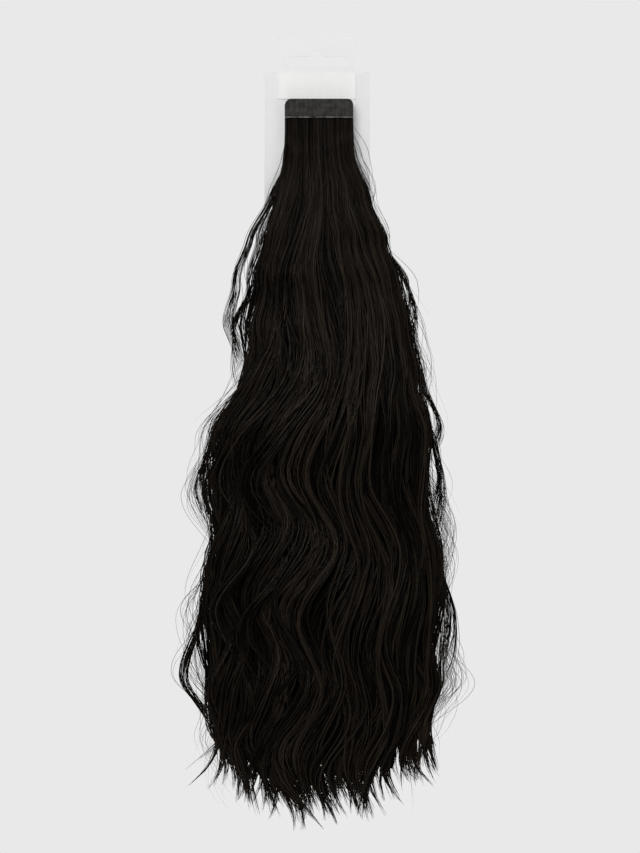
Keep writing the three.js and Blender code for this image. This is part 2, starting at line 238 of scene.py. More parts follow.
# Opaque white film, calendered smooth and laminated to the card: the whitest thing here, and bare
def whiteLabelFilm():
    look = {"colours": [(0.35, "#f9f9f8"), (0.65, "#fcfcfb")], "roughness": 0.5, "mottleMm": 6}
    material, tree = newMaterial("whiteLabelFilm")
    place = objectPlace(tree)
    mottle = noise(tree, place, look["mottleMm"], detail=4)
    return finishMaterial(material, tree, {
        "Base Color": ramp(tree, mottle, look["colours"]),
        "Roughness": look["roughness"],
    })


# Cast polyurethane skin tape with the hair roots pressed into it: dark, satin, faintly blotchy, with fine
# upright lines where the roots show through
def polyurethaneTape():
    look = {
        "colours": [(0.42, "#0d0c0c"), (0.58, "#302d2a")],
        "roughness": 0.5,
        "ior": 1.5,
        "sheen": 0.22,
        "blotchMm": 3,
        "blotchShare": 0.65,  # and the roots' lines have the rest of the pattern
        "blotchRoughness": 0.6,
        "rootLineMm": 1,
        "drawnOut": 0.05,
        "reliefStrength": 0.25,
        "reliefMm": 0.1,
    }
    material, tree = newMaterial("polyurethaneTape")
    place = objectPlace(tree)
    blotches = noise(tree, place, look["blotchMm"], detail=3, roughness=look["blotchRoughness"])
    rootLines = noise(tree, drawnOut(tree, place, look["drawnOut"]), look["rootLineMm"], detail=2)
    fainter = addNode(tree, "ShaderNodeMath", {
        0: rootLines,
        1: 1 - look["blotchShare"],
    }, operation="MULTIPLY")
    both = addNode(tree, "ShaderNodeMath", {
        0: blotches,
        1: look["blotchShare"],
        2: fainter.outputs[0],
    }, operation="MULTIPLY_ADD").outputs[0]
    return finishMaterial(material, tree, {
        "Base Color": ramp(tree, both, look["colours"]),
        "Normal": relief(tree, both, look["reliefStrength"], look["reliefMm"]),
        "Roughness": look["roughness"],
        "IOR": look["ior"],
        "Specular IOR Level": look["sheen"],
    })


# Clear bonding glue, pressed out in a bead under each tape: dark, with pale dashes painted into its colour
# as highlights where the bead catches the light
def bondingGlue():
    look = {
        "colours": [(0.42, "#171412"), (0.62, "#7b7672")],
        "roughness": 0.4,
        "ior": 1.48,
        "sheen": 0.25,
        "paintedGlintMm": 5,
        "paintedGlintRoughness": 0.65,
    }
    material, tree = newMaterial("bondingGlue")
    place = objectPlace(tree)
    # the pale dashes are painted highlights
    paintedGlints = noise(tree, place, look["paintedGlintMm"], detail=4, roughness=look["paintedGlintRoughness"])
    return finishMaterial(material, tree, {
        "Base Color": ramp(tree, paintedGlints, look["colours"]),
        "Roughness": look["roughness"],
        "IOR": look["ior"],
        "Specular IOR Level": look["sheen"],
    })


# Matt emulsion rolled on boards: even and pale, with the faintest clouding
def paintedFloor():
    look = {"colours": [(0.35, "#e6e6e6"), (0.65, "#eaeaea")], "roughness": 0.8, "cloudMm": 180}
    material, tree = newMaterial("paintedFloor")
    place = objectPlace(tree)
    clouds = noise(tree, place, look["cloudMm"], detail=3)
    return finishMaterial(material, tree, {
        "Base Color": ramp(tree, clouds, look["colours"]),
        "Roughness": look["roughness"],
    })


# The hair's form. Its places come from the frame, in millimetres. Its length, depth, waves and main locks
# are the CAD solid's, and its outline and tips are fitted a little more closely to the photograph.
def boxInMm(node):
    low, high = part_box(node)
    return np.array(low) / mm, np.array(high) / mm


hairLow, hairHigh = boxInMm("hair_fall")
frontTapeLow, frontTapeHigh = boxInMm("tape_tab_01")
nextTapeLow = boxInMm("tape_tab_02")[0]
cardLow = boxInMm("hang_card")[0]
tapeCount = sum(name.startswith("tape_tab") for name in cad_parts)
tapeStep = nextTapeLow[1] - frontTapeLow[1]
headOverTape = 0.3  # how far the hair's head reaches past the tape at either side
hang = {
    "middleX": (frontTapeLow[0] + frontTapeHigh[0]) / 2,
    "headTop": hairHigh[2],
    "headHalf": (frontTapeHigh[0] - frontTapeLow[0]) / 2 + headOverTape,
    "frontY": frontTapeLow[1],
    "backY": frontTapeHigh[1] + (tapeCount - 1) * tapeStep,
    "length": hairHigh[2] - hairLow[2],
    "cardFoot": cardLow[2],
}

fallShape = {
    "halfWidth": 80,
    "frontBulge": 25,
    "backBulge": 14,
    "rearSlope": 0.45,  # how fast the hair may swell back once it is past the card
    "sideDepth": 0.5,  # how deep the outermost locks may lie, as a share of the depth in the middle
    # The outline from the head at 0 down to the longest tip at 1. Left and right are shares of the way from
    # the head's edge to halfWidth, front and back of the two bulges.
    "down":  [0, .05, .11, .17, .23, .30, .37, .45, .53, .62, .70, .78, .85, .92, 1.0],
    "left":  [0, .02, .08, .17, .27, .46, .54, .71, .88, .83, .89, .99, .78, .65, .54],
    "right": [0, .04, .17, .37, .49, .56, .65, .85, .88, .91, .95, .98, .75, .66, .55],
    "front": [0, .03, .16, .34, .50, .64, .74, .84, .90, .95, 1.0, .98, .86, .68, .46],
    "back":  [0, .00, .00, .10, .36, .60, .76, .88, .95, 1.0, 1.0, .94, .80, .58, .34],
}

waves = {
    "swing": 12,
    "depth": 3.6,
    "start": 0.02,  # where the waves begin and have their full swing, as shares of the length
    "grown": 0.27,
    "fadeStart": 0.85,
    "fade": 0.45,  # the share of its swing that a wave loses by the tip
    "edgePull": 0.35,  # the share of its swing by which a lock keeps in from the edge
    "bendBlend": 0.025,  # how far up and down one wave goes over into the next
    # where the locks swing furthest left, then right, and so on down the hair: long waves above, short below
    "leftBends":  [0.17, 0.345, 0.468, 0.57, 0.672, 0.775, 0.88, 0.99],
    "rightBends": [0.12, 0.315, 0.5, 0.615, 0.737, 0.835, 0.93, 1.03],
}

# The main locks in front, left to right, each a column of these rows. Root, mid and tip are its places
# across the hair from -1 to 1, at the top, half-way down and at the end. Swing is its share of the waves'.
# Side 0 follows the left bends and side 1 the right ones, lag says how much further down a lock bends than
# its side does, and reach is its share of the hair's length.
frontLocks = {
    "root":  [-.92, -.80, -.66, -.50, -.34, -.20, -.06, .06, .18, .30, .42, .54, .66, .78, .88, .97],
    "mid":   [-.91, -.83, -.71, -.54, -.38, -.24, -.10, .00, .12, .22, .34, .46, .60, .73, .84, .92],
    "tip":   [-.85, -.77, -.66, -.50, -.43, -.28, -.12, -.04, .09, .26, .42, .56, .66, .77, .86, .94],
    "swing": [.35, .60, .80, .95, 1.05, 1.1, 1.0, .85, .70, .62, .55, .55, .60, .55, .45, .35],
    "side":  [0, 0, 0, 0, 0, 0, 0, .3, .7, 1, 1, 1, 1, 1, 1, 1],
    "lag":   [0, -.008, -.012, -.006, 0, .006, .01, 0, 0, -.006, 0, .01, .014, .02, .026, .03],
    "reach": [.945, .965, .975, .98, .985, 1, .98, .99, .995, .985, .99, .985, .965, .95, .94, .93],
    # how many of its strands a lock keeps, and how thick they are: light comes through the outer locks
    "fill":  [.95, 1, 1, 1, 1, 1, 1, 1, 1, 1, 1, 1, 1, 1, 1, .95],
    "fine":  [.4, .6, .85, 1, 1, 1, 1, 1, 1, 1, 1, 1, 1, .85, .6, .4],
}

# The locks at the back, in even places across the hair, with less swing at the sides
backPlaces = np.linspace(-0.9, 0.9, 8)
backLocks = {
    "root": backPlaces,
    "mid": backPlaces,
    "tip": backPlaces,
    "swing": 0.9 - 0.5 * abs(backPlaces),
    "side": np.clip(0.5 + 1.2 * backPlaces, 0, 1),
    "lag": 0.012 + 0.06 * (1 - abs(backPlaces)),
    "reach": 0.985 - 0.06 * backPlaces ** 2 - 0.03 * (np.arange(len(backPlaces)) % 2),
    "fill": 1 - 0.3 * abs(backPlaces) ** 3,
    "fine": 1 - 0.4 * abs(backPlaces) ** 3,
}


def eased(low, high, value):
    # 0 up to low, 1 from high, and a soft rise between them
    share = np.clip((value - low) / (high - low), 0, 1)
    return share * share * (3 - 2 * share)


def grownFrom(low, share):
    return low + (1 - low) * share


def outlineAt(column, down):
    places = np.array(fallShape["down"])
    values = np.array(fallShape[column])
    row = np.clip(np.searchsorted(places, down), 1, len(places) - 1)
    share = eased(places[row - 1], places[row], down)
    return values[row - 1] + (values[row] - values[row - 1]) * share


def edgesAt(down):
    z = hang["headTop"] - down * hang["length"]
    spread = fallShape["halfWidth"] - hang["headHalf"]
    roomBehind = np.maximum(0, hang["cardFoot"] - z) * fallShape["rearSlope"]
    return {
        "z": z,
        "left": hang["headHalf"] + outlineAt("left", down) * spread,
        "right": hang["headHalf"] + outlineAt("right", down) * spread,
        "front": hang["frontY"] - outlineAt("front", down) * fallShape["frontBulge"],
        "back": hang["backY"] + np.minimum(outlineAt("back", down) * fallShape["backBulge"], roomBehind),
    }


def turnsAt(lock, down):
    # how many whole waves a lock has made by a place down the hair, with a bend at every half
    place = down - lock["lag"]
    counts = []
    for name in ("leftBends", "rightBends"):
        bends = np.insert(waves[name], 0, 0)
        number = 0.25 + 0.5 * np.arange(len(bends))
        steps = (-waves["bendBlend"], 0, waves["bendBlend"])
        near = [np.interp(place + step, bends, number) for step in steps]
        counts.append(sum(near) / len(near))
    return counts[0] + (counts[1] - counts[0]) * lock["side"]


def flowAt(lock, down):
    # the middle line of a lock, or of many at once, at places down the hair
    edges = edgesAt(down)
    half = (edges["left"] + edges["right"]) / 2
    upper = lock["root"] + (lock["mid"] - lock["root"]) * eased(0, 0.5, down)
    lower = lock["mid"] + (lock["tip"] - lock["mid"]) * eased(0.5, 1, down)
    across = np.where(down < 0.5, upper, lower)
    growing = eased(waves["start"], waves["grown"], down)
    fading = 1 - waves["fade"] * eased(waves["fadeStart"], 1, down)
    sway = lock["swing"] * waves["swing"] * growing * fading
    angle = 2 * math.pi * turnsAt(lock, down)
    x = (edges["right"] - edges["left"]) / 2 + across * (half - waves["edgePull"] * sway)
    x = x + sway * np.sin(angle)
    halfY = (edges["back"] - edges["front"]) / 2 - lock["halfDepth"]
    flatter = 1 - fallShape["sideDepth"] ** 2
    rounding = np.sqrt(np.maximum(0, 1 - flatter * across * across))
    ripple = waves["depth"] * lock["swing"] * growing * np.cos(angle)
    y = (edges["back"] + edges["front"]) / 2 - lock["facing"] * lock["layer"] * halfY * rounding
    y = np.minimum(y + ripple * lock["layer"], edges["back"] - lock["halfDepth"])
    return x, y, edges["z"]


def clearOfCard(y, z, gapMm):
    # nothing reaches through the card
    return np.where(z > hang["cardFoot"], np.minimum(y, hang["backY"] - gapMm), y)


# How far out across the hair a lock's parts may lie
partLimits = {"root": (-0.99, 0.99), "mid": (-1.0, 1.0), "tip": (-1.05, 1.12)}


def splitLocks(guides, settings):
    # each main lock is parted into finer ones beside and behind each other, with waves a little apart,
    # and the parts draw together again at the tip
    guideCount = len(guides["root"])
    parts = settings["partsPerLock"]
    shape = (guideCount, parts)
    order = np.tile(np.arange(parts), (guideCount, 1))
    step = ((order + 0.5) / parts - 0.5) * settings["partSpread"]
    step = step + chance.normal(0, settings["partSpread"] * settings["partJitter"], shape)
    columns = {name: np.array(guides[name], float)[:, None] for name in guides}
    outermost = abs(columns["mid"]) ** 5  # near 1 for the outermost locks alone
    loose = 1 + settings["looseEdges"] * outermost
    inset = settings["inset"]
    tipStep = step * settings["tipSpread"]
    longest = columns["reach"] * settings["reachShare"]
    locks = {
        "root": columns["root"] + step,
        "mid": columns["mid"] * inset + step + chance.normal(0, settings["midJitter"], shape) * loose,
        "tip": columns["tip"] * inset + tipStep + chance.normal(0, settings["tipJitter"], shape),
        "swing": columns["swing"] * (1 + chance.normal(0, settings["swingJitter"], shape) * loose ** 0.5),
        "side": columns["side"] + 0 * step,
        "lag": columns["lag"] + chance.normal(0, settings["lagJitter"], shape) * loose,
        "reach": longest - abs(chance.normal(0, settings["reachJitter"], shape)),
        "layer": chance.uniform(settings["layerFrom"], settings["layerTo"], shape),
        "fill": columns["fill"] + 0 * step,
        "fine": columns["fine"] + 0 * step,
    }
    locks = {name: values.ravel() for name, values in locks.items()}
    for name, (furthestLeft, furthestRight) in partLimits.items():
        locks[name] = np.clip(locks[name], furthestLeft, furthestRight)
    locks["facing"] = np.full(guideCount * parts, float(settings["facing"]))
    locks["halfDepth"] = np.full(guideCount * parts, float(settings["halfDepth"]))
    return locks


# What the strands of every layer have in common. Places are shares of the way down, lengths millimetres.
strandHabits = {
    "finePoints": 220,  # a line is worked out at these, and its tube keeps fewer
    "shorterWisps": (1.1, 3.0),  # how their lengths spread: most are long, and a few much shorter
    "shorterStrands": 0.02,
    "wispLag": 0.003,
    "wispSwing": 0.05,
    "wispTwist": 0.5,
    "rootFullness": 0.34,  # a share of the fullness that a lock has from fullFrom on
    "fullFrom": 0.35,
    "edgeFullness": 0.4,  # the outer locks are narrower, with gaps between them
    "wanderLengths": (150, 260),
    "wispWaveLengths": (38, 60),
    "wavesGrow": (0.1, 0.4),
    "waveDepth": 0.5,  # how deep the small waves are, as a share of their width
    "strandWaveLengths": (18, 34),
    "strandWavesGrow": (0.02, 0.3),
    "turnFrom": 0.92,  # where the ends begin to turn outward
    # the roots across the head, as shares of its half width
    "rootSpread": 0.98,
    "wispRoots": 0.03,
    "strandRoots": 0.006,
    "outermostRoot": 0.985,
    "weftMargin": 0.15,  # and in the depth of a weft, from the share that stays free in front
    "weftDepth": 0.8,
    "rootsJoin": (0.005, 0.12),  # where the straight roots go over into the waves
    "cardGap": 0.1,
    # what a strand's tone is made of
    "lockTone": 0.3,
    "wispTone": 0.4,
    "ownTone": 0.3,
    "shade": 0.18,
}


def strandLines(locks, settings):
    # Every strand's line, as points from root to tip, with its tone and its fineness. A lock holds wisps and
    # a wisp a few strands, which keep close together, so that fine dark gaps part the wisps.
    habits = strandHabits
    lockCount = len(locks["root"])
    wispCount = lockCount * settings["wispsPerLock"]
    count = wispCount * settings["strandsPerWisp"]
    ofLock = np.repeat(np.arange(lockCount), count // lockCount)
    ofWisp = np.repeat(np.arange(wispCount), settings["strandsPerWisp"])

    def perLock(values):
        return values[ofLock][:, None]

    def perWisp(values):
        return values[ofWisp][:, None]

    lock = {name: perLock(values) for name, values in locks.items()}
    shorter = perWisp(chance.beta(*habits["shorterWisps"], wispCount)) * settings["thinning"]
    shorter = shorter + habits["shorterStrands"] * chance.random((count, 1))
    share = np.linspace(0, 1, habits["finePoints"])[None, :]
    down = share * lock["reach"] * (1 - shorter)
    lockShare = down / lock["reach"]
    lock["lag"] = lock["lag"] + perWisp(chance.normal(0, habits["wispLag"], wispCount))
    lock["swing"] = lock["swing"] * (1 + perWisp(chance.normal(0, habits["wispSwing"], wispCount)))
    x, y, z = flowAt(lock, down)

    # where the wisp lies in its lock, and the strand in its wisp
    fullness = grownFrom(habits["rootFullness"], eased(0, habits["fullFrom"], lockShare))
    fullness = fullness * (1 - settings["tipClosing"] * eased(settings["closeFrom"], 1, lockShare))
    fullness = fullness * grownFrom(habits["edgeFullness"], lock["fine"])
    twist = perLock(chance.normal(0, settings["twist"], lockCount))
    twist = twist + perWisp(chance.normal(0, habits["wispTwist"], wispCount))
    around = perWisp(chance.random(wispCount)) * 2 * math.pi + twist * down
    out = np.sqrt(perWisp(chance.random(wispCount)))
    scatter = chance.normal(0, settings["wispScatter"], (count, 2))
    x = x + fullness * (settings["halfWidth"] * out * np.cos(around) + scatter[:, :1])
    y = y + fullness * (settings["halfDepth"] * out * np.sin(around) + scatter[:, 1:])

    # slow wander of the whole lock, and small waves of the wisp and of the strand
    ripples = [
        (settings["wanderMm"], habits["wanderLengths"], lockCount, perLock),
        (settings["wispWaveMm"], habits["wispWaveLengths"], wispCount, perWisp),
    ]
    for sizeMm, lengths, groupCount, perGroup in ripples:
        travel = down * hang["length"] / perGroup(chance.uniform(*lengths, groupCount))
        phaseX, phaseY = chance.random((2, groupCount))
        size = sizeMm * eased(*habits["wavesGrow"], down)
        x = x + size * np.sin(2 * math.pi * (travel + perGroup(phaseX)))
        y = y + habits["waveDepth"] * size * np.sin(2 * math.pi * (travel + perGroup(phaseY)))
    travel = down * hang["length"] / chance.uniform(*habits["strandWaveLengths"], (count, 1))
    travel = travel + chance.random((count, 1))
    size = settings["strandWaveMm"] * eased(*habits["strandWavesGrow"], down)
    x = x + size * np.sin(2 * math.pi * travel)

    # the ends turn outward, and each lock's a little its own way
    turned = settings["flareMm"] * lock["tip"] * abs(lock["tip"])
    turned = turned + settings["hookMm"] * perLock(chance.normal(0, 1, lockCount))
    # half of a soft rise, which is steepest at the very end
    x = x + turned * 2 * eased(habits["turnFrom"], 2 - habits["turnFrom"], lockShare)

    # the roots stand straight down in their wefts before they join the wave
    weft = settings["weftFrom"] + chance.integers(0, settings["weftCount"], (count, 1))
    weftStep = (hang["backY"] - hang["frontY"]) / tapeCount
    rootX = lock["root"] * habits["rootSpread"] + perWisp(chance.normal(0, habits["wispRoots"], wispCount))
    rootX = rootX + chance.normal(0, habits["strandRoots"], (count, 1))
    rootX = np.clip(rootX, -habits["outermostRoot"], habits["outermostRoot"]) * hang["headHalf"]
    inWeft = habits["weftMargin"] + habits["weftDepth"] * chance.random((count, 1))
    rootY = hang["frontY"] + (weft + inWeft) * weftStep
    joined = eased(*habits["rootsJoin"], down)
    x = rootX + (x - rootX) * joined
    y = clearOfCard(rootY + (y - rootY) * joined, z, habits["cardGap"])

    # strands on their lock's far side, seen from the front, lie in its shade and part it from the next
    farSide = out * np.sin(around[:, habits["finePoints"] // 2, None])
    tone = habits["lockTone"] * perLock(chance.random(lockCount))
    tone = tone + habits["wispTone"] * perWisp(chance.random(wispCount)) - habits["shade"] * farSide
    # the inner layers' tones are multiplied down: painted shade
    tone = (tone[:, 0] + habits["ownTone"] * chance.random(count)) * settings["toneKeptInPaintedShade"]
    kept = chance.random(count) < lock["fill"][:, 0]
    return np.stack([x + hang["middleX"], y, z + 0 * x], -1)[kept], tone[kept], lock["fine"][kept]


tiny = 1e-9  # added to a length that something is divided by, because it may be zero


def evenBends(lines, count):
    # keeps count points of each line, more of them where it bends
    straightWeight = 0.35  # by which a straight stretch keeps points too
    steps = np.diff(lines, axis=1)
    lengths = np.linalg.norm(steps, axis=2)
    along = steps / lengths[..., None]
    bend = np.zeros(lengths.shape)
    bend[:, 1:] = np.linalg.norm(np.diff(along, axis=1), axis=2)
    weight = np.sqrt(bend / (bend.mean(1, keepdims=True) + tiny))
    weight = weight + straightWeight * lengths / lengths.mean(1, keepdims=True)
    travelled = np.concatenate([np.zeros((len(lines), 1)), np.cumsum(weight, 1)], 1)
    travelled /= travelled[:, -1:]
    source = np.linspace(0, 1, lines.shape[1])
    wanted = np.linspace(0, 1, count)
    kept = np.empty((len(lines), count, 3))
    shares = np.empty((len(lines), count))
    for i, line in enumerate(lines):
        place = np.interp(wanted, travelled[i], source)
        shares[i] = place
        for axis in range(3):
            kept[i, :, axis] = np.interp(place, source, line[:, axis])
    return kept, shares


def meshFromArrays(name, points, faces):
    # faces is a list of arrays, such as one of triangles and one of quads
    mesh = bpy.data.meshes.new(name)
    mesh.vertices.add(len(points))
    mesh.vertices.foreach_set("co", np.asarray(points, np.float32).ravel())
    corners = np.concatenate([f.ravel() for f in faces])
    sizes = np.concatenate([np.full(len(f), f.shape[1]) for f in faces])
    starts = np.concatenate([[0], np.cumsum(sizes)[:-1]])
    mesh.loops.add(len(corners))
    mesh.loops.foreach_set("vertex_index", corners.astype(np.int32))
    mesh.polygons.add(len(starts))
    mesh.polygons.foreach_set("loop_start", starts.astype(np.int32))
    mesh.polygons.foreach_set("use_smooth", np.full(len(starts), True))
    mesh.update(calc_edges=True)
    return mesh


def addPiece(name, mesh, material):
    piece = bpy.data.objects.new(name, mesh)
    bpy.context.scene.collection.objects.link(piece)
    mesh.materials.append(material)
    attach(piece, "root")
    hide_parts("hair_fall")
    return piece


# How thickness and tone run along every strand. Places are shares of its length.
tubeHabits = {
    "thickness": (0.7, 1.25),  # of the thinnest and the thickest strand, times its layer's radius
    "grown": (0.05, 0.35),  # where it goes over from its root's thickness to the full one
    "tipThickness": 0.14,
    "fineEnds": (0.8, 0.93),
    "rootContrast": 0.6,  # near the roots the hair lies flat and looks even
    "contrastGrown": (0.02, 0.25),
    "lighterFrom": 0.88,
    "lighterEnds": 0.15,
}


def strandTubes(name, lines, tones, settings, fine=1.0):
    # a closed three-sided tube along each line, thin at the root, full in the middle, pointed at the tip
    habits = tubeHabits
    count, rows = lines.shape[0], settings["points"]
    kept, shares = evenBends(lines, rows)
    along = np.gradient(kept, axis=1)
    along /= np.linalg.norm(along, axis=2, keepdims=True) + tiny
    side = np.cross(along, [0.0, 1.0, 0.0])
    side /= np.linalg.norm(side, axis=2, keepdims=True) + tiny
    through = np.cross(side, along)
    radius = settings["strandRadius"] * chance.uniform(*habits["thickness"], (count, 1))
    radius = radius * grownFrom(settings["rootShare"], eased(*habits["grown"], shares))
    radius = radius * (1 - (1 - habits["tipThickness"]) * eased(settings["taperFrom"], 1, shares))
    # fine strands draw together at their ends and look as dark as the others there
    radius = (radius * grownFrom(fine, eased(*habits["fineEnds"], shares)))[..., None]
    start = chance.random((count, 1, 1)) * 2 * math.pi
    turns = [start + k * 2 * math.pi / 3 for k in range(3)]
    rings = [kept + radius * (np.cos(turn) * side + np.sin(turn) * through) for turn in turns]
    points = np.stack(rings, 2).reshape(-1, 3)
    number = np.arange(count * rows * 3).reshape(count, rows, 3)
    caps = np.concatenate([number[:, 0, [0, 1, 2]], number[:, -1, [2, 1, 0]]])
    k = np.arange(3)
    n = (k + 1) % 3
    upper, lower = number[:, :-1], number[:, 1:]
    quads = np.stack([upper[..., k], lower[..., k], lower[..., n], upper[..., n]], -1).reshape(-1, 4)
    mesh = meshFromArrays(name, points * mm, [caps, quads])
    average = tones.mean()
    contrast = grownFrom(habits["rootContrast"], eased(*habits["contrastGrown"], shares))
    toneAlong = average + (tones[:, None] - average) * contrast
    toneAlong = toneAlong + habits["lighterEnds"] * eased(habits["lighterFrom"], 1, shares)
    tone = mesh.attributes.new("strandToneAndShade", "FLOAT", "POINT")
    tone.data.foreach_set("value", np.repeat(toneAlong.ravel(), 3).astype(np.float32))
    layOutStrands(mesh, shares)
    print(name, "strands", count, "triangles", len(quads) * 2 + len(caps))
    return mesh


def layOutStrands(mesh, shares):
    # A map for baking, in which every strand has a small field of its own: the tube, unrolled, and above and
    # below it the end caps. Margins and sizes are shares of a field.
    margin = 0.1
    capMargin = 0.02
    capSize = [0.4, 0.05]
    across = 1 - 2 * margin
    count, rows = shares.shape
    fields = math.ceil(math.sqrt(count))
    field = np.stack([np.arange(count) % fields, np.arange(count) // fields], -1)[:, None, :]
    cap = [margin, capMargin] + np.array([[0, 0], [1, 0], [0, 1]]) * capSize
    footCap = cap + np.zeros((count, 1, 1))
    tipCap = footCap + [0, 1 - 2 * capMargin - capSize[1]]
    left = margin + across * np.arange(3) / 3 + np.zeros((count, rows - 1, 3))
    right = left + across / 3
    start = (margin + across * shares[:, :-1, None]) + np.zeros(left.shape)
    end = (margin + across * shares[:, 1:, None]) + np.zeros(left.shape)
    u = np.stack([left, left, right, right], -1)
    v = np.stack([start, end, end, start], -1)
    tube = np.stack([u, v], -1).reshape(count, -1, 2)
    places = [(part + field) / fields for part in (footCap, tipCap, tube)]
    corners = np.concatenate([part.reshape(-1, 2) for part in places])
    layer = mesh.uv_layers.new(name="OFBake")
    layer.data.foreach_set("uv", corners.astype(np.float32).ravel())


def makeStrandPiece(name, guides, settings, material):
    lines, tones, fine = strandLines(splitLocks(guides, settings), settings)
    fine = 1 - settings["edgeFineness"] * (1 - fine)
    return addPiece(name, strandTubes(name, lines, tones, settings, fine), material)


# The inner hair, a closed body a little inside the strands, which ends in a thin ragged foot; it is painted
# nearly black as painted shade. Widths and depths are shares of the fall's, places are shares of the way
# down.
hairCore = {
    "reach": 0.89,
    "headWidth": 0.93,
    "headDepth": 0.5,
    "width": 0.8,
    "lowWidth": 0.86,
    "widens": (0.35, 0.55),
    "depth": 0.5,
    "closeFrom": 0.65,
    "footWidth": 0.8,  # the foot's sizes are shares of the body's above it
    "footDepth": 0.12,
    "headSquareness": 0.16,  # 1 is round, near 0 a square
    "headEndsMm": (14, 56),
    "headGapMm": 0.2,
    "sides": 64,
    "rows": 90,
    "rowCrowding": 1.1,  # above 1 the rows are closer near the head
    "flutes": 23,
    "fluteDepth": 0.03,
    "fluteTurn": 14,  # how far they wind around the body, in radians
    "raggedMm": 6,
    "raggedCrowding": 4,  # above 1 only the lowest of the foot is ragged
    "raggedWaves": [(0.32, 0.0), (0.83, 1.0)],  # radians per millimetre, and where each begins
}


def makeHairCore(material):
    core = hairCore
    down = core["reach"] * np.linspace(0, 1, core["rows"])[:, None] ** core["rowCrowding"]
    angle = 2 * math.pi * (np.arange(core["sides"])[None, :] + 0.5) / core["sides"]
    edges = edgesAt(down)
    belowHead = eased(*core["headEndsMm"], down * hang["length"])
    squareness = grownFrom(core["headSquareness"], belowHead)
    across = np.sign(np.cos(angle)) * abs(np.cos(angle)) ** squareness
    through = np.sign(np.sin(angle)) * abs(np.sin(angle)) ** squareness
    closing = eased(core["closeFrom"], core["reach"], down)
    widthShare = core["headWidth"] + (core["width"] - core["headWidth"]) * belowHead
    widthShare = widthShare + (core["lowWidth"] - core["width"]) * eased(*core["widens"], down)
    widthShare = widthShare * (1 + (core["footWidth"] - 1) * closing)
    depthShare = core["headDepth"] + (core["depth"] - core["headDepth"]) * belowHead
    depthShare = depthShare * (1 + (core["footDepth"] - 1) * closing)
    winding = np.sin(core["flutes"] * angle + core["fluteTurn"] * down)
    flutes = 1 + core["fluteDepth"] * belowHead * winding
    side = np.where(across < 0, edges["left"], edges["right"])
    x = hang["middleX"] + across * side * widthShare * flutes
    middleY = (edges["front"] + edges["back"]) / 2
    y = middleY + through * (edges["back"] - edges["front"]) / 2 * depthShare * flutes
    ragged = sum(np.sin(turn * x + start) for turn, start in core["raggedWaves"])
    z = edges["z"] - core["headGapMm"] - core["raggedMm"] * closing ** core["raggedCrowding"] * ragged
    points = np.stack([x, y, z], -1).reshape(-1, 3)
    number = np.arange(core["rows"] * core["sides"]).reshape(core["rows"], core["sides"])
    nextOne = np.roll(number, -1, axis=1)
    quads = np.stack([number[:-1], number[1:], nextOne[1:], nextOne[:-1]], -1).reshape(-1, 4)
    middles = np.stack([points[number[0]].mean(0), points[number[-1]].mean(0)])
    top = len(points)
    topCap = np.stack([number[0], nextOne[0], np.full(core["sides"], top)], -1)
    footCap = np.stack([nextOne[-1], number[-1], np.full(core["sides"], top + 1)], -1)
    points = np.concatenate([points, middles])
    mesh = meshFromArrays("hairCore", points * mm, [np.concatenate([topCap, footCap]), quads])
    return addPiece("hairCore", mesh, material)


# Thin loops of hair that stand off the sides, as in the CAD solid. Each is a column of the first five rows:
# side -1 is left, from and to are places down the hair, bulge is how far the loop stands off, as a share of
# halfWidth, and forward its place from back 0 to front 1.
sideLoops = {
    "side": [-1, -1, -1, -1, 1, 1, 1, 1],
    "from": [0.035, 0.185, 0.395, 0.64, 0.17, 0.31, 0.425, 0.6],
    "to": [0.335, 0.325, 0.535, 0.845, 0.31, 0.43, 0.56, 0.76],
    "bulge": [0.27, 0.15, 0.13, 0.13, 0.18, 0.15, 0.15, 0.14],
    "forward": [0.62, 0.5, 0.55, 0.5, 0.62, 0.5, 0.58, 0.5],
    "tuckMm": 7,  # how deep a loop's ends lie inside the hair
    "sag": 1.4,  # above 1 a loop is fullest below its middle
    "wisps": 4,
    "strandsPerWisp": 11,
    # how much higher a wisp may leave the hair than its loop does, and how much lower it may come back
    "wispLeaves": (-0.01, 0.035),
    "wispReturns": (-0.02, 0.06),
    "strandLeaves": 0.004,
    "strandReturns": 0.008,
    "fan": 0.6,  # how much nearer the hair the innermost wisps keep
    "fanCrowding": 1.5,  # above 1 more of them lie outside
    "scatterMm": 0.6,
    "endScatter": 0.35,  # a share of that
    "darkening": 1.3,  # above 1 dark strands are more common
    "cardGap": 0.2,
    "finePoints": 120,
    "points": 26,
    "strandRadius": 0.15,
    "rootShare": 0.6,
    "taperFrom": 0.8,
}


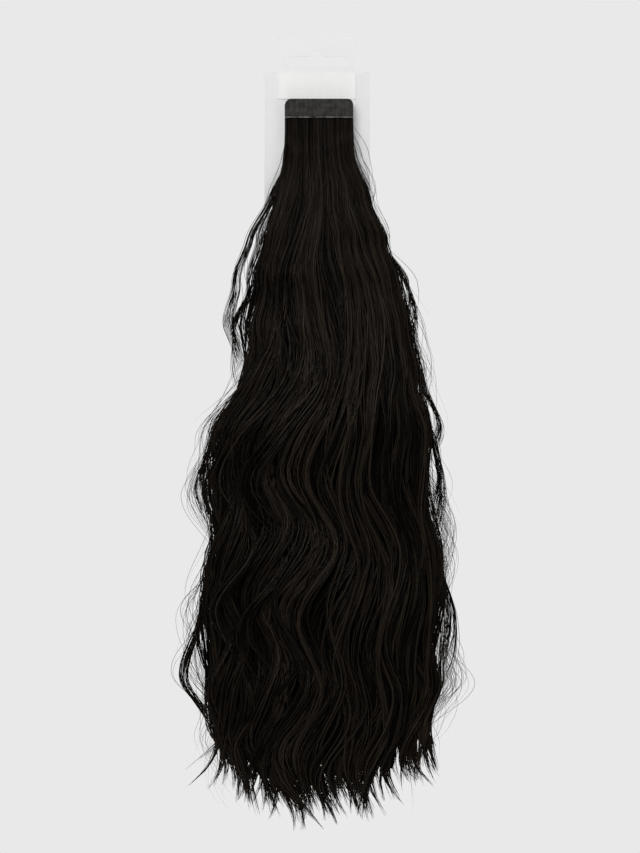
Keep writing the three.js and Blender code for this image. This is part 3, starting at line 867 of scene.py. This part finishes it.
def makeSideLoops(material):
    loops = sideLoops
    wispCount = len(loops["side"]) * loops["wisps"]
    count = wispCount * loops["strandsPerWisp"]
    ofWisp = np.repeat(np.arange(wispCount), loops["strandsPerWisp"])

    def perWisp(values):
        return values[ofWisp][:, None]

    names = ("side", "from", "to", "bulge", "forward")
    column = {name: perWisp(np.repeat(np.array(loops[name], float), loops["wisps"])) for name in names}
    share = np.linspace(0, 1, loops["finePoints"])[None, :]
    low = column["from"] - perWisp(chance.uniform(*loops["wispLeaves"], wispCount))
    high = column["to"] + perWisp(chance.uniform(*loops["wispReturns"], wispCount))
    low = low + chance.normal(0, loops["strandLeaves"], (count, 1))
    high = high + chance.normal(0, loops["strandReturns"], (count, 1))
    down = low + (high - low) * share
    edges = edgesAt(down)
    edge = np.where(column["side"] < 0, edges["left"], edges["right"])
    arch = np.sin(math.pi * share ** loops["sag"])
    scatter = chance.normal(0, loops["scatterMm"], (count, 2))
    bulge = column["bulge"] * perWisp(1 - loops["fan"] * chance.random(wispCount) ** loops["fanCrowding"])
    spread = grownFrom(loops["endScatter"], arch)
    standOff = bulge * fallShape["halfWidth"] * arch + scatter[:, :1] * spread
    x = column["side"] * (edge - loops["tuckMm"] + standOff)
    y = edges["back"] + (edges["front"] - edges["back"]) * column["forward"]
    y = clearOfCard(y + scatter[:, 1:] * spread, edges["z"], loops["cardGap"])
    lines = np.stack([x + hang["middleX"], y, edges["z"] + 0 * x], -1)
    tones = chance.random(count) ** loops["darkening"]
    return addPiece("hairSideLoops", strandTubes("hairSideLoops", lines, tones, loops), material)


# Single hairs that have come loose and wave along the outside of the fall
strayHairs = {
    "count": 600,
    "across": (0.9, 1.0),  # where they lie across the hair, at either side
    "swing": (0.4, 1.0),
    "lag": (-0.05, 0.05),
    "layer": (-0.6, 1.0),  # 1 lies outside in front
    "lowestStart": 0.78,
    "startCrowding": 1.3,  # above 1 more of them start high up
    "lowestEnd": (0.84, 0.97),
    "reachMm": (40, 130),
    "tuckMm": 3,  # how deep they start inside the hair
    "outMm": (1, 11),  # and how far from there they stand off
    "freeShare": 0.5,  # these end in the air, the others come back to the hair
    "slowLeaving": 1.5,  # above 1 a free one stands off most near its end
    "cardGap": 0.2,
    "finePoints": 100,
    "points": 26,
    "strandRadius": 0.12,
    "rootShare": 0.7,
    "taperFrom": 0.5,
}


def makeStrayHairs(material):
    stray = strayHairs
    count = stray["count"]
    side = np.where(chance.random((count, 1)) < 0.5, -1.0, 1.0)
    place = side * chance.uniform(*stray["across"], (count, 1))
    hair = {
        "root": place,
        "mid": place,
        "tip": place,
        "swing": chance.uniform(*stray["swing"], (count, 1)),
        "side": chance.random((count, 1)),
        "lag": chance.uniform(*stray["lag"], (count, 1)),
        "layer": chance.uniform(*stray["layer"], (count, 1)),
        "facing": 1,
        "halfDepth": 1,
    }
    start = stray["lowestStart"] * chance.random((count, 1)) ** stray["startCrowding"]
    reach = chance.uniform(*stray["reachMm"], (count, 1)) / hang["length"]
    share = np.linspace(0, 1, stray["finePoints"])[None, :]
    lowest = chance.uniform(*stray["lowestEnd"], (count, 1))
    down = start + np.minimum(reach, lowest - start) * share
    x, y, z = flowAt(hair, down)
    free = chance.random((count, 1)) < stray["freeShare"]
    leaving = np.where(free, share ** stray["slowLeaving"], np.sin(math.pi * share))
    x = x + side * (chance.uniform(*stray["outMm"], (count, 1)) * leaving - stray["tuckMm"])
    y = clearOfCard(y, z, stray["cardGap"])
    lines = np.stack([x + hang["middleX"], y, z + 0 * x], -1)
    return addPiece("hairStrays", strandTubes("hairStrays", lines, chance.random(count), stray), material)


# The root ends, pressed flat between one tape and the next, painted nearly black as painted shade
hairRoots = {
    "perTape": 90,
    "riseMm": 9.8,
    "spread": 0.9,  # as a share of the tape's half width, to keep clear of its round corners
    "lightest": 0.6,
    "points": 3,
    "strandRadius": 0.12,
    "rootShare": 1.0,
    "taperFrom": 0.9,
}


def makeHairRoots(material):
    roots = hairRoots
    places = np.linspace(-1, 1, roots["perTape"]) * roots["spread"] * hang["headHalf"] + hang["middleX"]
    firstGap = (frontTapeHigh[1] + nextTapeLow[1]) / 2
    gaps = firstGap + tapeStep * np.arange(tapeCount)
    lines = np.empty((tapeCount * roots["perTape"], 3, 3))
    lines[:, :, 0] = np.tile(places, tapeCount)[:, None]
    lines[:, :, 1] = np.repeat(gaps, roots["perTape"])[:, None]
    lines[:, :, 2] = hang["headTop"] + roots["riseMm"] * np.array([1.0, 0.5, 0.0])
    tones = roots["lightest"] * chance.random(len(lines))
    return addPiece("hairRoots", strandTubes("hairRoots", lines, tones, roots), material)


hairMaterial = steamWavedHair()
# the core and the roots are painted nearly black: painted shade
paintedShadeHairMaterial = shadedHair()
cardMaterial = frostedPolypropylene()
labelMaterial = whiteLabelFilm()
tapeMaterial = polyurethaneTape()
glueMaterial = bondingGlue()
print("materials made")

# How each layer's main locks are parted, how full the parts are and in which wefts their roots lie. Spreads
# and jitters across are shares of the hair's half width, widths and depths are millimetres.
commonStrands = {
    "partSpread": 0.13,
    "partJitter": 0.12,  # a share of that
    "midJitter": 0.02,
    "tipJitter": 0.012,
    "tipSpread": 0.1,  # how far apart a lock's parts end, as a share of partSpread
    "inset": 1.0,
    "looseEdges": 1.2,  # how much more the waves of the outer locks differ
    "swingJitter": 0.2,
    "lagJitter": 0.012,
    "reachShare": 1.0,
    "reachJitter": 0.014,
    "thinning": 0.022,  # how much shorter the shortest wisps are
    "closeFrom": 0.89,  # where a lock begins to draw together into its tuft, and by how much
    "tipClosing": 0.94,
    "flareMm": 20,  # how far the outermost ends turn outward
    "hookMm": 6,  # and how far any lock's end may turn its own way
    "twist": 0.9,
    "wispsPerLock": 10,
    "strandsPerWisp": 3,
    "wispScatter": 0.36,
    "wanderMm": 2.0,
    "wispWaveMm": 0.5,
    "strandWaveMm": 0.12,
    "points": 44,
    "strandRadius": 0.35,
    "rootShare": 0.5,  # the thickness at the root, as a share of the full one
    "taperFrom": 0.93,
    "edgeFineness": 1.0,  # how much of their fineness the outer locks' strands show
    # a layer's strand tones are multiplied by this: below 1 it is painted shade on the inner layers
    "toneKeptInPaintedShade": 1.0,
    "facing": 1,  # 1 is the front, -1 the back
}
frontSurface = dict(
    commonStrands, partsPerLock=3, halfWidth=4.2, halfDepth=1.7,
    layerFrom=0.82, layerTo=1.04, weftFrom=0, weftCount=2,
)
# the inside and middle layers have their tones lowered: painted shade
frontInside = dict(
    commonStrands, partsPerLock=2, wispsPerLock=5, strandsPerWisp=4, halfWidth=6.5, halfDepth=3.2,
    wispScatter=0.78, looseEdges=0, lagJitter=0.02, layerFrom=0.5, layerTo=0.8, weftFrom=2, weftCount=3,
    points=36, strandRadius=0.5, inset=0.92, tipSpread=0.8, tipClosing=0.5, edgeFineness=0.5,
    toneKeptInPaintedShade=0.6, reachShare=0.995, thinning=0.06,
)
middleLayer = dict(
    commonStrands, partsPerLock=1, wispsPerLock=5, strandsPerWisp=4, halfWidth=8, halfDepth=4.5,
    wispScatter=1.2, looseEdges=0, lagJitter=0.02, layerFrom=-0.65, layerTo=0.45, weftFrom=5, weftCount=2,
    points=32, strandRadius=0.6, inset=0.84, tipClosing=0.4, edgeFineness=0, toneKeptInPaintedShade=0.5,
    reachShare=0.985, thinning=0.06,
)
backSurface = dict(
    commonStrands, partsPerLock=5, wispsPerLock=5, strandsPerWisp=3, halfWidth=6.0, halfDepth=2.6,
    partSpread=0.26, tipSpread=0.7, layerFrom=0.7, layerTo=0.98, weftFrom=7, weftCount=3, facing=-1,
    points=42, strandRadius=0.42, inset=0.9, reachShare=0.985, thinning=0.04,
)
# a few thin locks that cross the others on the outside
frontVeil = dict(
    commonStrands, partsPerLock=1, wispsPerLock=6, halfWidth=3.0, halfDepth=0.8, wispScatter=0.3,
    layerFrom=1.02, layerTo=1.08, weftFrom=0, weftCount=1, lagJitter=0.02,
)


def halfOf(guides, first, last):
    return {name: values[first:last] for name, values in guides.items()}


makeHairCore(paintedShadeHairMaterial)
makeStrandPiece("hairFrontLeft", halfOf(frontLocks, 0, 8), frontSurface, hairMaterial)
makeStrandPiece("hairFrontRight", halfOf(frontLocks, 8, 16), frontSurface, hairMaterial)
makeStrandPiece("hairFrontInside", frontLocks, frontInside, hairMaterial)
makeStrandPiece("hairMiddle", frontLocks, middleLayer, hairMaterial)
makeStrandPiece("hairBack", backLocks, backSurface, hairMaterial)
makeStrandPiece("hairVeil", frontLocks, frontVeil, hairMaterial)
makeSideLoops(hairMaterial)
makeStrayHairs(hairMaterial)
makeHairRoots(paintedShadeHairMaterial)
print("hair made")


# The card, label, tapes and seams keep their CAD shapes
def finishNodes():
    finishes = {"hang_card": cardMaterial, "blank_label": labelMaterial}
    for name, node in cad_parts.items():
        if name.startswith("tape_tab"):
            finishes[name] = tapeMaterial
        if name.startswith("seam_line"):
            finishes[name] = glueMaterial
        if name in finishes:
            for slot in node.material_slots:
                slot.material = finishes[name]


finishNodes()
print("CAD pieces finished")


# The studio: a pale floor well below the tips, soft lights and a pale room
studio = {
    "room": "#e9e9e9",
    "roomLight": 0.28,  # how much of the room's brightness falls on the hair
    "floorBelowMm": 700,
    "floorRadiusMm": 1600,
    "floorSides": 96,
    # each light's name, place in metres, size in metres and watts
    "lights": [
        ("keyLight", (-0.55, -2.0, 0.85), 1.1, 29),
        ("fillLight", (0.9, -2.2, 0.0), 1.4, 5),
        ("topLight", (0.0, -0.4, 1.4), 0.9, 4),
        ("backLight", (0.3, 1.8, 0.7), 1.2, 24),
    ],
}


def makeStudio():
    lowZ = cadBox[0][2] - studio["floorBelowMm"] * mm
    bpy.ops.mesh.primitive_circle_add(
        vertices=studio["floorSides"],
        radius=studio["floorRadiusMm"] * mm,
        fill_type="NGON",
        location=(0, 0, lowZ),
    )
    floor = bpy.context.object
    floor.name = "studioFloor"
    floor.data.materials.append(paintedFloor())
    floor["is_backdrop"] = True

    world = bpy.data.worlds.new("studioRoom")
    bpy.context.scene.world = world
    world.use_nodes = True
    tree = world.node_tree
    tree.nodes.clear()
    rays = addNode(tree, "ShaderNodeLightPath")
    seen = addNode(tree, "ShaderNodeBackground", {"Color": linear(studio["room"]), "Strength": 1.0})
    shining = addNode(tree, "ShaderNodeBackground", {
        "Color": linear(studio["room"]),
        "Strength": studio["roomLight"],
    })
    both = addNode(tree, "ShaderNodeMixShader", {
        0: rays.outputs["Is Camera Ray"],
        1: shining.outputs[0],
        2: seen.outputs[0],
    })
    addNode(tree, "ShaderNodeOutputWorld", {"Surface": both.outputs[0]})

    target = np.array([0.0, 0.0, (cadBox[0][2] + cadBox[1][2]) / 2])
    for name, place, size, watts in studio["lights"]:
        data = bpy.data.lights.new(name, "AREA")
        data.shape = "SQUARE"
        data.size = size
        data.energy = watts
        lamp = bpy.data.objects.new(name, data)
        bpy.context.scene.collection.objects.link(lamp)
        lamp.location = place
        aim(lamp, target)


def aim(thing, target):
    direction = Vector(target) - thing.location
    thing.rotation_euler = direction.to_track_quat("-Z", "Y").to_euler()


# The camera looks straight at the front from well back, as the photograph does
view = {
    "distance": 2.6,  # in metres, as is farthest, beyond which nothing is drawn
    "farthest": 20,
    "sensorMm": 36,
    "frameWidthMm": 380.8,  # what the picture's width takes in at the object
    "middleXMm": 1.7,  # the picture's middle, seen from the hang slot
    "middleZMm": -223.7,
    "picture": (640, 853),
}


def makeCamera():
    data = bpy.data.cameras.new("frontCamera")
    camera = bpy.data.objects.new("frontCamera", data)
    bpy.context.scene.collection.objects.link(camera)
    wide, high = view["picture"]
    frameHeight = view["frameWidthMm"] * high / wide * mm
    data.sensor_fit = "VERTICAL"
    data.sensor_height = view["sensorMm"]
    data.lens = view["sensorMm"] * view["distance"] / frameHeight
    data.clip_end = view["farthest"]
    middle = (view["middleXMm"] * mm, 0.0, view["middleZMm"] * mm)
    camera.location = (middle[0], -view["distance"], middle[2])
    aim(camera, middle)
    bpy.context.scene.camera = camera


makeStudio()
makeCamera()
bpy.context.scene.view_settings.view_transform = "Standard"
print("studio ready")

sizes = {"cad": cadBox, "visual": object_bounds()}
sizes = {name: [[float(value) for value in corner] for corner in box] for name, box in sizes.items()}
